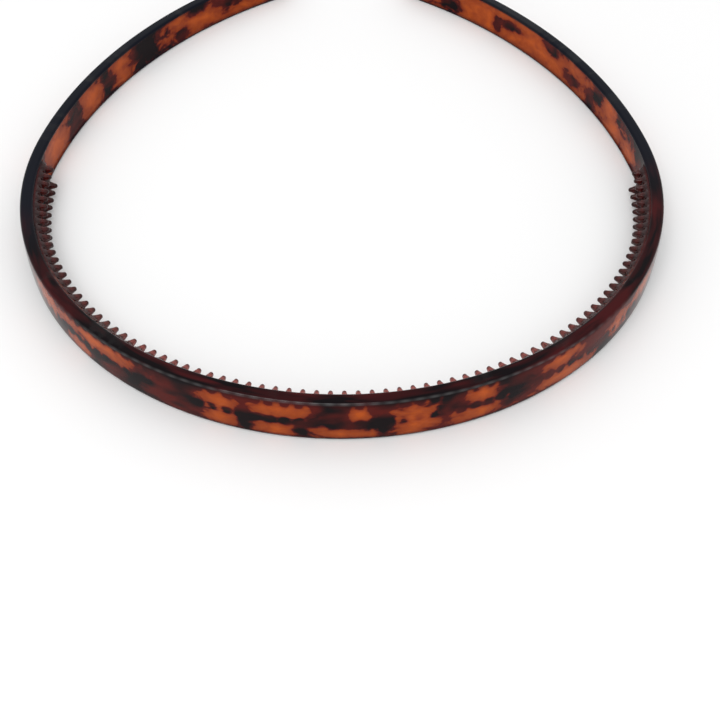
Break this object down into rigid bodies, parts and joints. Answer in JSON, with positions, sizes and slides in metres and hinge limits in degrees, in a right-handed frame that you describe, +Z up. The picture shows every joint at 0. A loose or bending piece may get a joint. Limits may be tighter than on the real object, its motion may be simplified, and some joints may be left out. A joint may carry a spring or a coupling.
{
  "type": "comb headband",
  "caption": "Slim springy C-shaped plastic headband in glossy tortoiseshell, with two rows of short comb teeth inside the crown and plain tapered arms.",
  "frame": {"origin": "under the middle of the whole headband, on the plane its lower edge rests on", "axes": "+Z up from the rest plane, across the band's width; +Y from the crown towards the open tips; +X to the right as seen from the crown side"},
  "size_m": [0.13, 0.1474, 0.0094],
  "materials": {
    "band_plastic": "polished translucent tortoiseshell, amber with dark brown clouds",
    "comb_plastic": "polished translucent red-brown, the band's own plastic"
  },
  "bodies": {
    "crown": {"crown_band": "band_plastic", "crown_upper_comb": "comb_plastic", "crown_lower_comb": "comb_plastic"},
    "right_arm": {"right_arm_band": "band_plastic", "right_arm_upper_comb": "comb_plastic", "right_arm_lower_comb": "comb_plastic"},
    "left_arm": {"left_arm_band": "band_plastic", "left_arm_upper_comb": "comb_plastic", "left_arm_lower_comb": "comb_plastic"}
  },
  "joints": [
    {"name": "right_arm_flex", "type": "hinge", "parent": "crown", "child": "right_arm", "pos_m": [0.04943, -0.05091, 0.0047], "axis": [0, 0, -1], "range_deg": [-3, 20], "stiffness_Nm_per_rad": 0.6},
    {"name": "left_arm_flex", "type": "hinge", "parent": "crown", "child": "left_arm", "pos_m": [-0.04943, -0.05091, 0.0047], "axis": [0, 0, 1], "range_deg": [-3, 20], "stiffness_Nm_per_rad": 0.6}
  ]
}
